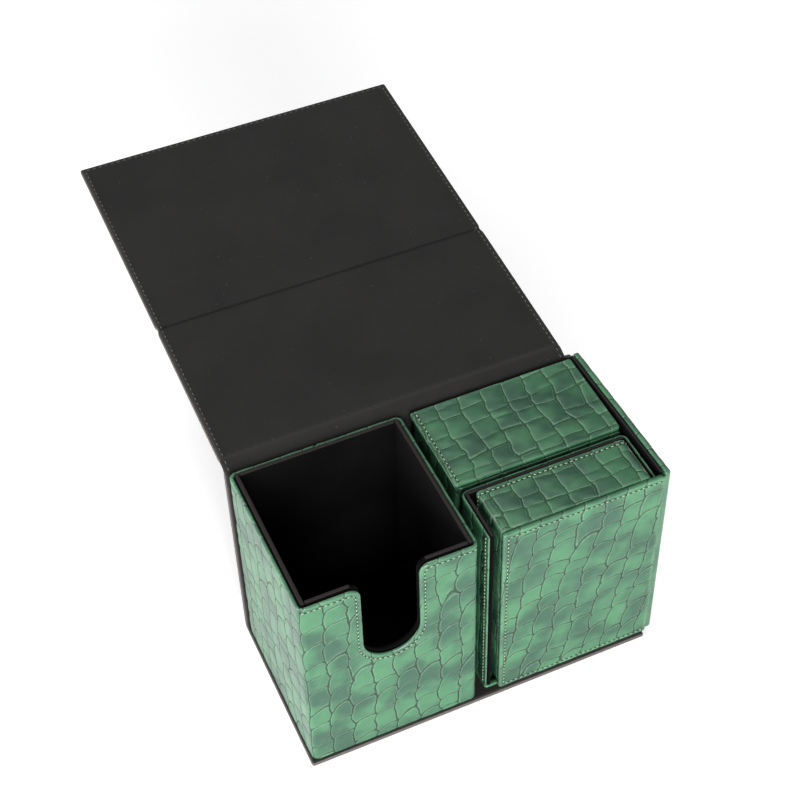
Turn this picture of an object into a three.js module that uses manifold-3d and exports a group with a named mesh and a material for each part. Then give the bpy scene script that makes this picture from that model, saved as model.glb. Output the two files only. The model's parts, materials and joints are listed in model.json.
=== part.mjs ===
// Card deck box: a black book-style cover (base, spine, top panel, front flap) around two
// card boxes, an open deck box on the left and a companion box with two trays on the right.
// Millimetres, +Z up. X runs along the front, Y towards the spine. The origin is the centre
// of the cover's underside. The model stands open, with the top panel and flap laid back.

import * as THREE from 'three';
import { mergeVertices } from 'three/addons/utils/BufferGeometryUtils.js';
import Module from 'manifold-3d';

const wasm = await Module();
wasm.setup();

// ---------------------------------------------------------------- driving dimensions

const GLUE = 0.1;              // glue line between two layers
const CLEARANCE = 0.3;         // least gap between pieces that move past each other

// Deck box: room for a deck in 66 x 91 mm sleeves behind walls of leather, board and liner.
const DECK_ROOM = 68.4;        // inside width and depth
const DECK_HEIGHT = 104.2;
const DECK_CORNER = 3;         // rounded vertical edges
const LEATHER = 0.6;
const WALL_BOARD = 1.2;
const LINER = 1.8;
const LINER_RISE = 0.8;        // the liner stands proud of the leather
const NOTCH_WIDTH = 24.5;
const NOTCH_DEPTH = 48;
const NOTCH_SHOULDER = 5;      // rounded top corners of the thumb notch

// Cover: skin outside, board, lining inside.
const COVER_SKIN = 0.5;
const COVER_BOARD = 1.5;
const COVER_LINING = 0.4;
const COVER_WIDTH = 155.3;
const BASE_EXTRA = 3;          // base and spine past the lid's right end
const SIDE_OVERHANG = 0.9;     // base past the deck box on the left
const FRONT_OVERHANG = 0.8;    // base past the deck box in front
const SPINE_GAP = 1;           // deck box to spine
const LID_LENGTH = 82.4;       // hinge to crease
const FLAP_LENGTH = 109.2;     // crease to free edge
const LID_TILT = 4.5;          // degrees above level, laid back
const HINGE_RISE = 1;          // hinge line above the deck box's leather
const LID_DROP = 0.4;          // lining surface below the hinge line
const HINGE_GROOVE = 5;        // hinge line to the edge of the lid board
const HINGE_ROLL = 1.3;        // radius of the cloth rolled over the spine's top edge
const SPINE_SHORT = 1.5;       // spine board's top edge below the hinge line
const CREASE_GROOVE = 2.5;     // crease line to the edge of either board

// Companion box, to the right of the deck box, drawn a little away from it.
const UNIT_LEFT = 80.6;
const UNIT_WIDTH = 74.7;
const UNIT_BACK = 75.2;
const UNIT_FLOOR = 1.6;
const THIN_LEATHER = 0.5;
const THIN_BOARD = 0.7;
const THIN_LINER = 1.3;
const THIN_LINING = 0.3;
const SHELL_CORNER = 3;
const FRONT_SHELL_BACK = 28.3;
const FRONT_SHELL_DROP = 1;    // leather rim below the top of the deck box
const REAR_SHELL_FRONT = 30.5;
const REAR_SHELL_DROP = 2.2;
const TRAY_BOARD = 1.2;
const TRAY_LEFT = 86.2;        // front tray, leaving the finger gap on its left
const CAP_OVERHANG = 0.7;      // rear tray's cap past the rear shell on the left
const CAP_HEIGHT = 2;

// Door on the front tray, and the flap that wraps round the right side.
const DOOR_THICKNESS = 2;
const DOOR_RIGHT = 158.2;
const WRAP_HINGE = 158.5;
const WRAP_LEAN = 1.2;         // degrees that the flap leans in against the shells
const WRAP_BOARD = 1.6;
const WRAP_LINER = 1.3;
const WRAP_REAR = 76.6;
const WRAP_RISE = 1;

const MAGNET_RADIUS = 4;
const MAGNET_THICKNESS = 1;
const MAGNET_FIT = 0.15;       // radial room in its hole
const CLOSING_MAGNET_HEIGHT = 30;
const WRAP_MAGNET = { y: 66, z: 52 };

// ---------------------------------------------------------------- derived sizes

const DECK_WALL = LEATHER + WALL_BOARD + LINER + 2 * GLUE;
const DECK_WIDTH = DECK_ROOM + 2 * DECK_WALL;
const DECK_DEPTH = DECK_WIDTH;
const COVER_THICKNESS = COVER_SKIN + COVER_BOARD + COVER_LINING + 2 * GLUE;
const COVER_LEFT = -SIDE_OVERHANG;
const COVER_RIGHT = COVER_LEFT + COVER_WIDTH;
const SPINE_FRONT = DECK_DEPTH + SPINE_GAP;
const SPINE_BACK = SPINE_FRONT + COVER_THICKNESS;
const FLOOR_LEVEL = COVER_THICKNESS + GLUE;
const RIM = FLOOR_LEVEL + DECK_HEIGHT;
const HINGE_Y = (SPINE_FRONT + SPINE_BACK) / 2;
const HINGE_Z = RIM + HINGE_RISE;
const UNIT_RIGHT = UNIT_LEFT + UNIT_WIDTH;
const THIN_WALL = THIN_LEATHER + THIN_BOARD + THIN_LINER + 2 * GLUE;
const WALL_FOOT = FLOOR_LEVEL + UNIT_FLOOR + GLUE;
const TRAY_FOOT = WALL_FOOT + CLEARANCE;
const UNIT_FRONT = DOOR_THICKNESS + CLEARANCE;
const DECK_CENTRE = DECK_WIDTH / 2;
const DOOR_CENTRE = (TRAY_LEFT + DOOR_RIGHT) / 2;

// ---------------------------------------------------------------- finishes

const finish = (colour, roughness, metalness = 0) =>
  new THREE.MeshStandardMaterial({ color: colour, roughness, metalness });

const FINISH = {
  greenLeather: finish(0x3d7a52, 0.45),
  blackLeather: finish(0x1d1b1a, 0.6),
  blackLining: finish(0x2a2928, 0.9),
  brownLiner: finish(0x443c3b, 0.85),
  greyboard: finish(0x8a857c, 0.9),
  magnet: finish(0xb8bac0, 0.3, 1),
};

// ---------------------------------------------------------------- solids

// A box geometry between two corners, given as spans along X, Y and Z.
function span([x0, x1], [y0, y1], [z0, z1]) {
  const box = new THREE.BoxGeometry(x1 - x0, y1 - y0, z1 - z0);
  return box.translate((x0 + x1) / 2, (y0 + y1) / 2, (z0 + z1) / 2);
}

// A disc of the given radius, its axis along X, Y or Z.
function disc(radius, thickness, axis) {
  const cylinder = new THREE.CylinderGeometry(radius, radius, thickness, 32);
  if (axis === 'x') cylinder.rotateZ(Math.PI / 2);
  if (axis === 'z') cylinder.rotateX(Math.PI / 2);
  return cylinder;
}

function roundedOutline([x0, x1], [y0, y1], radius, Outline = THREE.Shape) {
  const outline = new Outline();
  outline.moveTo(x0 + radius, y0);
  outline.lineTo(x1 - radius, y0);
  outline.absarc(x1 - radius, y0 + radius, radius, -Math.PI / 2, 0);
  outline.lineTo(x1, y1 - radius);
  outline.absarc(x1 - radius, y1 - radius, radius, 0, Math.PI / 2);
  outline.lineTo(x0 + radius, y1);
  outline.absarc(x0 + radius, y1 - radius, radius, Math.PI / 2, Math.PI);
  outline.lineTo(x0, y0 + radius);
  outline.absarc(x0 + radius, y0 + radius, radius, Math.PI, 1.5 * Math.PI);
  return outline;
}

// A wrap of leather, standing up: a rounded rectangle in plan with the middle taken out.
function wrapRing([x0, x1], [y0, y1], [z0, z1], radius, thickness) {
  const ring = roundedOutline([x0, x1], [y0, y1], radius);
  const inside = [[x0 + thickness, x1 - thickness], [y0 + thickness, y1 - thickness]];
  ring.holes.push(roundedOutline(...inside, radius - thickness, THREE.Path));
  const solid = new THREE.ExtrudeGeometry(ring, { depth: z1 - z0, bevelEnabled: false, curveSegments: 6 });
  return solid.translate(0, 0, z0);
}

function toManifold(geometry) {
  const bare = geometry.clone();
  bare.deleteAttribute('normal');
  bare.deleteAttribute('uv');
  const merged = mergeVertices(bare, 1e-4);
  return new wasm.Manifold(new wasm.Mesh({
    numProp: 3,
    vertProperties: new Float32Array(merged.attributes.position.array),
    triVerts: new Uint32Array(merged.index.array),
  }));
}

// The first geometry with all the others taken away.
function cut(geometry, ...tools) {
  const solid = tools.reduce((left, tool) => left.subtract(toManifold(tool)), toManifold(geometry));
  const mesh = solid.getMesh();
  const result = new THREE.BufferGeometry();
  result.setAttribute('position', new THREE.BufferAttribute(new Float32Array(mesh.vertProperties), 3));
  result.setIndex(new THREE.BufferAttribute(new Uint32Array(mesh.triVerts), 1));
  result.computeVertexNormals();
  return result;
}

// A box with walls of one thickness, open on the sides named, such as '+y'.
function openBox(spans, thickness, open) {
  const past = 5;
  const inside = spans.map(([low, high], i) => {
    const letter = 'xyz'[i];
    return [
      open.includes(`-${letter}`) ? low - past : low + thickness,
      open.includes(`+${letter}`) ? high + past : high - thickness,
    ];
  });
  return cut(span(...spans), span(...inside));
}

function add(parent, name, geometry, material) {
  const mesh = new THREE.Mesh(geometry, material);
  mesh.name = name;
  parent.add(mesh);
  return mesh;
}

// The thumb notch, cut through a wall that lies between y0 and y1: straight sides, a round
// foot and rounded shoulders at the rim. grow widens it for a layer that is set back.
function notchTool(rim, [y0, y1], grow = 0) {
  const half = NOTCH_WIDTH / 2 + grow;
  const foot = rim - NOTCH_DEPTH - grow + half;
  const top = rim + 2 * NOTCH_SHOULDER;
  const edge = rim + GLUE;
  const outline = new THREE.Shape();
  outline.moveTo(DECK_CENTRE - half, foot);
  outline.absarc(DECK_CENTRE, foot, half, Math.PI, 2 * Math.PI);
  outline.lineTo(DECK_CENTRE + half, edge - NOTCH_SHOULDER);
  const shoulder = edge - NOTCH_SHOULDER;
  outline.absarc(DECK_CENTRE + half + NOTCH_SHOULDER, shoulder, NOTCH_SHOULDER, Math.PI, Math.PI / 2, true);
  outline.lineTo(DECK_CENTRE + half + NOTCH_SHOULDER, top);
  outline.lineTo(DECK_CENTRE - half - NOTCH_SHOULDER, top);
  outline.lineTo(DECK_CENTRE - half - NOTCH_SHOULDER, edge);
  outline.absarc(DECK_CENTRE - half - NOTCH_SHOULDER, shoulder, NOTCH_SHOULDER, Math.PI / 2, 0, true);
  const tool = new THREE.ExtrudeGeometry(outline, { depth: y1 - y0, bevelEnabled: false, curveSegments: 12 });
  return tool.rotateX(Math.PI / 2).translate(0, y1, 0);
}

// The drilled hole that a closing magnet sits in.
function magnetHole(x, y, z, axis = 'y') {
  return disc(MAGNET_RADIUS + MAGNET_FIT, 4 * MAGNET_THICKNESS, axis).translate(x, y, z);
}

function magnet(x, y, z, axis = 'y') {
  return disc(MAGNET_RADIUS, MAGNET_THICKNESS, axis).translate(x, y, z);
}

// ---------------------------------------------------------------- cover

// Skin, board and lining of one cover panel, stacked along `out`, the axis that points from
// the skin to the lining. low is where the skin starts on that axis.
function coverPanel(parent, name, across, along, low, axes, holes = []) {
  const layers = [
    ['skin', COVER_SKIN, FINISH.blackLeather],
    ['board', COVER_BOARD, FINISH.greyboard],
    ['lining', COVER_LINING, FINISH.blackLining],
  ];
  let level = low;
  for (const [layer, thickness, material] of layers) {
    const depth = axes.flip ? [level - thickness, level] : [level, level + thickness];
    const spans = axes.order === 'xyz' ? [across, along, depth] : [across, depth, along];
    const solid = span(...spans);
    add(parent, `${name}_${layer}`, layer === 'board' ? cut(solid, ...holes) : solid, material);
    level += (axes.flip ? -1 : 1) * (thickness + GLUE);
  }
}

function buildCover(parent) {
  const across = [COVER_LEFT, COVER_RIGHT];
  const baseAcross = [COVER_LEFT, COVER_RIGHT + BASE_EXTRA];
  coverPanel(parent, 'base', baseAcross, [-FRONT_OVERHANG, SPINE_BACK], 0, { order: 'xyz' });
  const spineTop = HINGE_Z - SPINE_SHORT;
  coverPanel(parent, 'spine', baseAcross, [FLOOR_LEVEL, spineTop], SPINE_BACK, { order: 'xzy', flip: true });

  // The cloth that rounds the top of the spine and carries the hinge.
  const rod = new THREE.CylinderGeometry(HINGE_ROLL, HINGE_ROLL, COVER_WIDTH, 24).rotateZ(Math.PI / 2);
  const beyond = 2 * HINGE_ROLL;
  const lowerHalf = span([-COVER_WIDTH, COVER_WIDTH], [-beyond, beyond], [-beyond, 0]);
  const roll = cut(rod, lowerHalf).translate((COVER_LEFT + COVER_RIGHT) / 2, HINGE_Y, spineTop + GLUE);
  add(parent, 'lid_hinge_cloth', roll, FINISH.blackLining);

  // Lid and flap share one plane, laid back. Their group's Y runs away from the hinge.
  const lid = new THREE.Group();
  lid.position.set(0, HINGE_Y, HINGE_Z);
  lid.rotation.x = THREE.MathUtils.degToRad(LID_TILT);
  parent.add(lid);
  const underside = -LID_DROP - COVER_THICKNESS;
  coverPanel(lid, 'lid', across, [HINGE_GROOVE, LID_LENGTH - CREASE_GROOVE], underside, { order: 'xyz' });

  const flap = new THREE.Group();
  flap.position.set(0, LID_LENGTH, 0);
  lid.add(flap);
  const creaseLevel = HINGE_Z + LID_DROP + COVER_THICKNESS / 2;
  const magnetReach = creaseLevel - FLOOR_LEVEL - CLOSING_MAGNET_HEIGHT;
  const boardMiddle = underside + COVER_SKIN + GLUE + COVER_BOARD / 2;
  const centres = [DECK_CENTRE, DOOR_CENTRE];
  const holes = centres.map((x) => magnetHole(x, magnetReach, boardMiddle, 'z'));
  coverPanel(flap, 'flap', across, [CREASE_GROOVE, FLAP_LENGTH], underside, { order: 'xyz' }, holes);
  ['left', 'right'].forEach((side, i) => {
    add(flap, `flap_magnet_${side}`, magnet(centres[i], magnetReach, boardMiddle, 'z'), FINISH.magnet);
  });
}

// ---------------------------------------------------------------- deck box

function buildDeckBox(parent) {
  const foot = FLOOR_LEVEL;
  const whole = [0, DECK_WIDTH];
  const front = [-GLUE, DECK_WALL + GLUE];
  const leather = wrapRing(whole, [0, DECK_DEPTH], [foot, RIM], DECK_CORNER, LEATHER);
  add(parent, 'deck_leather', cut(leather, notchTool(RIM, front)), FINISH.greenLeather);

  // Four boards under the leather, clear of its rounded corners.
  const boardLow = LEATHER + GLUE;
  const boardHigh = boardLow + WALL_BOARD;
  const along = [DECK_CORNER - 2 * GLUE, DECK_WIDTH - DECK_CORNER + 2 * GLUE];
  const height = [foot, RIM - LEATHER];
  const magnetY = (boardLow + boardHigh) / 2;
  const magnetZ = foot + CLOSING_MAGNET_HEIGHT;
  const frontBoard = cut(
    span(along, [boardLow, boardHigh], height),
    notchTool(RIM, front, LEATHER),
    magnetHole(DECK_CENTRE, magnetY, magnetZ),
  );
  add(parent, 'deck_board_front', frontBoard, FINISH.greyboard);
  add(parent, 'deck_magnet', magnet(DECK_CENTRE, magnetY, magnetZ), FINISH.magnet);
  const far = [DECK_WIDTH - boardHigh, DECK_WIDTH - boardLow];
  add(parent, 'deck_board_back', span(along, far, height), FINISH.greyboard);
  add(parent, 'deck_board_left', span([boardLow, boardHigh], along, height), FINISH.greyboard);
  add(parent, 'deck_board_right', span(far, along, height), FINISH.greyboard);

  // Liner boards, butted in the corners, stand on a floor board and its own liner.
  const linerLow = boardHigh + GLUE;
  const linerHigh = linerLow + LINER;
  const inner = [linerLow, DECK_WIDTH - linerLow];
  const between = [linerHigh + GLUE, DECK_WIDTH - linerHigh - GLUE];
  const floorTop = foot + WALL_BOARD;
  const linerHeight = [floorTop + GLUE, RIM + LINER_RISE];
  add(parent, 'deck_floor', span(inner, inner, [foot, floorTop]), FINISH.greyboard);
  add(parent, 'deck_liner_left', span([linerLow, linerHigh], inner, linerHeight), FINISH.brownLiner);
  const farLiner = [DECK_WIDTH - linerHigh, DECK_WIDTH - linerLow];
  add(parent, 'deck_liner_right', span(farLiner, inner, linerHeight), FINISH.brownLiner);
  add(parent, 'deck_liner_back', span(between, farLiner, linerHeight), FINISH.brownLiner);
  const linerNotch = notchTool(RIM + LINER_RISE, front);
  const frontLiner = cut(span(between, [linerLow, linerHigh], linerHeight), linerNotch);
  add(parent, 'deck_liner_front', frontLiner, FINISH.brownLiner);
  const floorLiner = [floorTop + GLUE, floorTop + GLUE + COVER_LINING];
  add(parent, 'deck_liner_floor', span(between, between, floorLiner), FINISH.brownLiner);
}

// ---------------------------------------------------------------- companion box

// Front shell: three walls, open in front and on top.
function buildFrontShell(parent) {
  const top = RIM - FRONT_SHELL_DROP;
  const past = 20;
  const ring = wrapRing(
    [UNIT_LEFT, UNIT_RIGHT], [-past, FRONT_SHELL_BACK], [WALL_FOOT, top], SHELL_CORNER, THIN_LEATHER,
  );
  const mouth = span([0, 2 * UNIT_RIGHT], [-2 * past, UNIT_FRONT], [0, 2 * RIM]);
  add(parent, 'front_shell_leather', cut(ring, mouth), FINISH.greenLeather);

  const boardIn = THIN_LEATHER + GLUE;
  const linerIn = boardIn + THIN_BOARD + GLUE;
  const corner = SHELL_CORNER - GLUE;
  const height = [WALL_FOOT, top - THIN_LEATHER];
  const sides = [UNIT_FRONT + GLUE, FRONT_SHELL_BACK - corner];
  const left = [UNIT_LEFT + boardIn, UNIT_LEFT + boardIn + THIN_BOARD];
  const right = [UNIT_RIGHT - boardIn - THIN_BOARD, UNIT_RIGHT - boardIn];
  const back = [FRONT_SHELL_BACK - boardIn - THIN_BOARD, FRONT_SHELL_BACK - boardIn];
  add(parent, 'front_shell_board_left', span(left, sides, height), FINISH.greyboard);
  add(parent, 'front_shell_board_right', span(right, sides, height), FINISH.greyboard);
  const backAcross = [UNIT_LEFT + corner, UNIT_RIGHT - corner];
  add(parent, 'front_shell_board_back', span(backAcross, back, height), FINISH.greyboard);

  const linerHeight = [WALL_FOOT, top + LINER_RISE / 2];
  const linerBack = [FRONT_SHELL_BACK - THIN_WALL, FRONT_SHELL_BACK - linerIn];
  const linerSides = [UNIT_FRONT, linerBack[0] - GLUE];
  const linerLeft = [UNIT_LEFT + linerIn, UNIT_LEFT + THIN_WALL];
  add(parent, 'front_shell_liner_left', span(linerLeft, linerSides, linerHeight), FINISH.brownLiner);
  const liningRight = [UNIT_RIGHT - linerIn - THIN_LINING, UNIT_RIGHT - linerIn];
  add(parent, 'front_shell_liner_right', span(liningRight, linerSides, height), FINISH.brownLiner);
  const linerAcross = [linerLeft[0], liningRight[1]];
  add(parent, 'front_shell_liner_back', span(linerAcross, linerBack, linerHeight), FINISH.brownLiner);
}

// Rear shell: three lower walls, open on the right and on top.
function buildRearShell(parent) {
  const top = RIM - REAR_SHELL_DROP;
  const past = 20;
  const across = [UNIT_LEFT, UNIT_RIGHT + past];
  const ring = wrapRing(across, [REAR_SHELL_FRONT, UNIT_BACK], [WALL_FOOT, top], SHELL_CORNER, THIN_LEATHER);
  const mouth = span([UNIT_RIGHT - CLEARANCE, 2 * UNIT_RIGHT], [0, 2 * UNIT_BACK], [0, 2 * RIM]);
  add(parent, 'rear_shell_leather', cut(ring, mouth), FINISH.greenLeather);

  const boardIn = THIN_LEATHER + GLUE;
  const boardOut = boardIn + THIN_BOARD;
  const corner = SHELL_CORNER - GLUE;
  const height = [WALL_FOOT, top - THIN_LEATHER];
  const boardAcross = [UNIT_LEFT + corner, UNIT_RIGHT - CLEARANCE - GLUE];
  const frontWall = [REAR_SHELL_FRONT + boardIn, REAR_SHELL_FRONT + boardOut];
  add(parent, 'rear_shell_board_front', span(boardAcross, frontWall, height), FINISH.greyboard);
  const backWall = [UNIT_BACK - boardOut, UNIT_BACK - boardIn];
  add(parent, 'rear_shell_board_back', span(boardAcross, backWall, height), FINISH.greyboard);
  const leftWall = [UNIT_LEFT + boardIn, UNIT_LEFT + boardOut];
  const along = [REAR_SHELL_FRONT + corner, UNIT_BACK - corner];
  add(parent, 'rear_shell_board_left', span(leftWall, along, height), FINISH.greyboard);
}

// Three nested open boxes: leather outside, board, lining inside.
function buildTrayLayers(parent, name, spans, open, holes) {
  const layers = [
    ['leather', THIN_LEATHER, FINISH.greenLeather],
    ['board', TRAY_BOARD, FINISH.greyboard],
    ['lining', THIN_LINING, FINISH.brownLiner],
  ];
  let current = spans;
  for (const [layer, thickness, material] of layers) {
    const solid = openBox(current, thickness, open);
    add(parent, `${name}_${layer}`, layer === 'board' ? cut(solid, ...holes) : solid, material);
    current = current.map(([low, high], i) => {
      const step = thickness + GLUE;
      const letter = 'xyz'[i];
      return [
        open.includes(`-${letter}`) ? low : low + step,
        open.includes(`+${letter}`) ? high : high - step,
      ];
    });
  }
}

// Front tray, open at its back, with the door glued to its front.
function buildFrontTray(parent) {
  const right = UNIT_RIGHT - THIN_LEATHER - THIN_BOARD - THIN_LINING - 2 * GLUE - CLEARANCE;
  const back = FRONT_SHELL_BACK - THIN_WALL - CLEARANCE;
  const spans = [[TRAY_LEFT, right], [UNIT_FRONT, back], [TRAY_FOOT, RIM]];
  buildTrayLayers(parent, 'front_tray', spans, ['+y'], []);

  const height = [FLOOR_LEVEL + CLEARANCE, RIM - CLEARANCE];
  const across = [TRAY_LEFT, DOOR_RIGHT];
  const leather = openBox([across, [0, DOOR_THICKNESS], height], THIN_LEATHER, ['+y']);
  add(parent, 'door_leather', leather, FINISH.greenLeather);
  const inset = THIN_LEATHER + GLUE;
  const boardY = [inset, inset + TRAY_BOARD];
  const magnetY = (boardY[0] + boardY[1]) / 2;
  const magnetZ = FLOOR_LEVEL + CLOSING_MAGNET_HEIGHT;
  const board = span(
    [across[0] + inset, across[1] - inset], boardY, [height[0] + inset, height[1] - inset],
  );
  add(parent, 'door_board', cut(board, magnetHole(DOOR_CENTRE, magnetY, magnetZ)), FINISH.greyboard);
  add(parent, 'door_magnet', magnet(DOOR_CENTRE, magnetY, magnetZ), FINISH.magnet);
}

// Rear tray, open on its left, under a cap that overhangs the rear shell.
function buildRearTray(parent) {
  const right = UNIT_RIGHT - 2 * CLEARANCE;
  const wall = THIN_LEATHER + THIN_BOARD + 2 * GLUE + 2 * CLEARANCE;
  const capFoot = RIM - CAP_HEIGHT;
  const spans = [
    [UNIT_LEFT + wall, right],
    [REAR_SHELL_FRONT + wall, UNIT_BACK - wall],
    [TRAY_FOOT, capFoot - GLUE],
  ];
  const endBoard = right - THIN_LEATHER - GLUE - TRAY_BOARD / 2;
  const hole = magnetHole(endBoard, WRAP_MAGNET.y, WRAP_MAGNET.z, 'x');
  buildTrayLayers(parent, 'rear_tray', spans, ['-x'], [hole]);
  add(parent, 'rear_tray_magnet', magnet(endBoard, WRAP_MAGNET.y, WRAP_MAGNET.z, 'x'), FINISH.magnet);

  const capSpans = [
    [UNIT_LEFT - CAP_OVERHANG, UNIT_RIGHT - CLEARANCE],
    [REAR_SHELL_FRONT + CAP_OVERHANG, UNIT_BACK],
    [capFoot, RIM],
  ];
  const capLeather = openBox(capSpans, THIN_LEATHER, ['-z']);
  add(parent, 'rear_tray_cap_leather', capLeather, FINISH.greenLeather);
  const inset = THIN_LEATHER + GLUE;
  const capBoard = span(
    ...capSpans.map(([low, high], i) => (i === 2 ? [low, high - inset] : [low + inset, high - inset])),
  );
  add(parent, 'rear_tray_cap_board', capBoard, FINISH.greyboard);
}

// The flap hinged to the door, which wraps round the right side and closes both trays in. Its
// group stands on the hinge line, with X pointing out of the box.
function buildSideFlap(parent) {
  const flap = new THREE.Group();
  flap.position.set(WRAP_HINGE, 0, 0);
  flap.rotation.z = THREE.MathUtils.degToRad(WRAP_LEAN);
  parent.add(flap);
  const inner = CLEARANCE;
  const outer = inner + GLUE + WRAP_BOARD + GLUE + THIN_LEATHER;
  const height = [FLOOR_LEVEL + 2 * CLEARANCE, RIM + WRAP_RISE];
  const along = [CLEARANCE, WRAP_REAR];
  const leather = openBox([[inner, outer], along, height], THIN_LEATHER, ['-x']);
  add(flap, 'side_flap_leather', leather, FINISH.greenLeather);
  const inset = THIN_LEATHER + GLUE;
  const boardX = [inner + GLUE, inner + GLUE + WRAP_BOARD];
  const magnetX = (boardX[0] + boardX[1]) / 2;
  const board = span(boardX, [along[0] + inset, along[1] - inset], [height[0] + inset, height[1] - inset]);
  const hole = magnetHole(magnetX, WRAP_MAGNET.y, WRAP_MAGNET.z, 'x');
  add(flap, 'side_flap_board', cut(board, hole), FINISH.greyboard);
  add(flap, 'side_flap_magnet', magnet(magnetX, WRAP_MAGNET.y, WRAP_MAGNET.z, 'x'), FINISH.magnet);
  const linerX = [inner - 2 * GLUE - WRAP_LINER, inner - 2 * GLUE];
  const linerY = [UNIT_FRONT + GLUE, WRAP_REAR - inset];
  add(flap, 'side_flap_liner', span(linerX, linerY, [height[0], height[1] - inset]), FINISH.brownLiner);
}

function buildCompanionBox(parent) {
  const thickness = [FLOOR_LEVEL, FLOOR_LEVEL + UNIT_FLOOR];
  const floor = span([UNIT_LEFT, UNIT_RIGHT], [UNIT_FRONT, UNIT_BACK], thickness);
  add(parent, 'companion_floor', floor, FINISH.greenLeather);
  buildFrontShell(parent);
  buildRearShell(parent);
  buildFrontTray(parent);
  buildSideFlap(parent);
  buildRearTray(parent);
}

// ---------------------------------------------------------------- assembly

// Everything above is placed from the deck box's front left corner; this group moves the
// centre of the cover's underside to the origin.
const group = new THREE.Group();
const placed = new THREE.Group();
placed.position.set(-(COVER_LEFT + COVER_RIGHT) / 2, -(SPINE_BACK - FRONT_OVERHANG) / 2, 0);
group.add(placed);
buildCover(placed);
buildDeckBox(placed);
buildCompanionBox(placed);

export default group;
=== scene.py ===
import json
import math

import bmesh
import bpy
import numpy as np
from mathutils import Matrix, Vector
from mathutils.geometry import delaunay_2d_cdt
from mathutils.kdtree import KDTree

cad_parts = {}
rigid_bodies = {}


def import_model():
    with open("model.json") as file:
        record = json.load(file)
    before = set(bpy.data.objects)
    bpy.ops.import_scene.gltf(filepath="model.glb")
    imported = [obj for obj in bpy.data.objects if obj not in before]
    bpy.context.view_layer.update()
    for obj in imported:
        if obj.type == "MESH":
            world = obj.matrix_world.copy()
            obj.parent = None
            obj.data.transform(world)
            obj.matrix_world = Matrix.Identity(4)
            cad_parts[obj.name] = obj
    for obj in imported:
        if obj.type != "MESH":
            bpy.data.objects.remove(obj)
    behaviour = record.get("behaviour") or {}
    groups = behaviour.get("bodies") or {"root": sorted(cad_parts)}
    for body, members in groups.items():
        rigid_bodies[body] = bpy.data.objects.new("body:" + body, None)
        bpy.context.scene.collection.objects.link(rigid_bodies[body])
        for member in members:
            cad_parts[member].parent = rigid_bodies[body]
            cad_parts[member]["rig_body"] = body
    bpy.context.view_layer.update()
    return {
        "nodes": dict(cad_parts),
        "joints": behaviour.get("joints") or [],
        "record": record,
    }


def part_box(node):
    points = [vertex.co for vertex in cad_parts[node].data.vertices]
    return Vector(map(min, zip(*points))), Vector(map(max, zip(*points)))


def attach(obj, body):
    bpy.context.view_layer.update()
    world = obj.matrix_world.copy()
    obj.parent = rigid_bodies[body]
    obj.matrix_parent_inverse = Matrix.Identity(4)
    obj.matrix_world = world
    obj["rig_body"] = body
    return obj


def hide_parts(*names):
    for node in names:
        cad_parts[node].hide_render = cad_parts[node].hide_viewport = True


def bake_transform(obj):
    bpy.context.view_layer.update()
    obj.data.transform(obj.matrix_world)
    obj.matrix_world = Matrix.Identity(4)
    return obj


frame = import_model()

# Card deck box, looks only. Sizes are in millimetres until a mesh is made; the frame is in
# metres. Leather is made as flat sheets that are wrapped round the boards and folded in at
# their edges. In a sheet, u runs along the wall, v across it, and depth goes into the wall.

METRE = 1000.0

LEATHER = 0.5              # thickness of a sheet
LINER_GAP = 0.35           # dark line between a leather rim and its liner
TURN_IN = 3.0              # how far a folded edge runs back inside
FOLD_ROOM = LEATHER + 0.1  # board's edge to the outside of the leather folded over it
COVER_FOLD = LEATHER + 0.3  # the same in the cover
SHELL_CUT = 0.45           # taken off the shells' boards, for the leather turned in
EDGE_HIGHLIGHT_WIDTH = 1.1           # width of the band along an edge that gets a painted highlight
FLAT_BY_SEAM = 1.2         # how near a seam the embossing is pressed flat
FINE_GRID = 0.85    # point spacing on embossed leather
COVER_GRID = 2.2           # point spacing on the smooth cover
HIDDEN_GRID = 8.0          # point spacing on the glued side
RELIEF = 0.34              # depth of the embossed grooves

DECK_CORNER = 3.0          # rounded vertical edges
SHELL_CORNER = 3.0
TRAY_CORNER = 2.2
TRAY_FOLD = 1.23           # front tray: its board's face to the inside of the folded leather
REAR_TRAY_WALL = 1.83      # rear tray: the leather's face to the inside of its fold
END_LEATHER = 0.6          # rear tray: leather on its closed end
PANEL_CORNER = 1.3         # corners of the flat panels
NOTCH_WIDTH = 24.5
NOTCH_DEPTH = 48.0
NOTCH_SHOULDER = 5.0

SEAM_INSET = 2.2           # stitch line to the edge
STITCH_PITCH = 2.35
STITCH_LENGTH = 1.6
THREAD_RADIUS = 0.17
COVER_PITCH = 2.9
NO_SEAM = 9.0              # seam distance where there is no stitching

LID_TILT = 4.5             # degrees above level
FLAP_LEAN = 1.2            # degrees that the side flap leans in
SEAM_GROOVE = 0.6          # side flap's front edge behind the door's face
FLAP_HINGE_DEPTH = 0.9     # door's face to the leather that joins it to the side flap
FLAP_HINGE_REACH = 0.95    # half the width of that leather
COVER_CORNER = 1.1
COVER_RADIUS = 0.9         # folded edges of the cover's skin
LINING = 0.5               # thickness of the lining and of the hinge's two strips
LINING_RADIUS = 0.24
LINING_INSET = 1.0         # cover's edge to its lining
CREASE_DIP = 0.6           # how far the cover's sides draw in at the crease
SPINE_SHORT = 1.4          # spine's top edge below the CAD's, under the hinge band

COLUMN_WIDTH = 9.6         # scales of the embossed pattern
ROW_HEIGHT = 11.5
ARCH = 0.3                 # how far a cross groove drops at its left end, in rows
SCALLOP = 0.085            # how far a scale's left side bulges, in columns


# ---------------------------------------------------------------- reading the frame


def span_of(node):
    """Lowest and highest corner of a CAD node."""
    low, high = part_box(node)
    return np.array(low) * METRE, np.array(high) * METRE


def cad_points(node):
    return np.array([v.co for v in frame["nodes"][node].data.vertices]) * METRE


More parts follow.
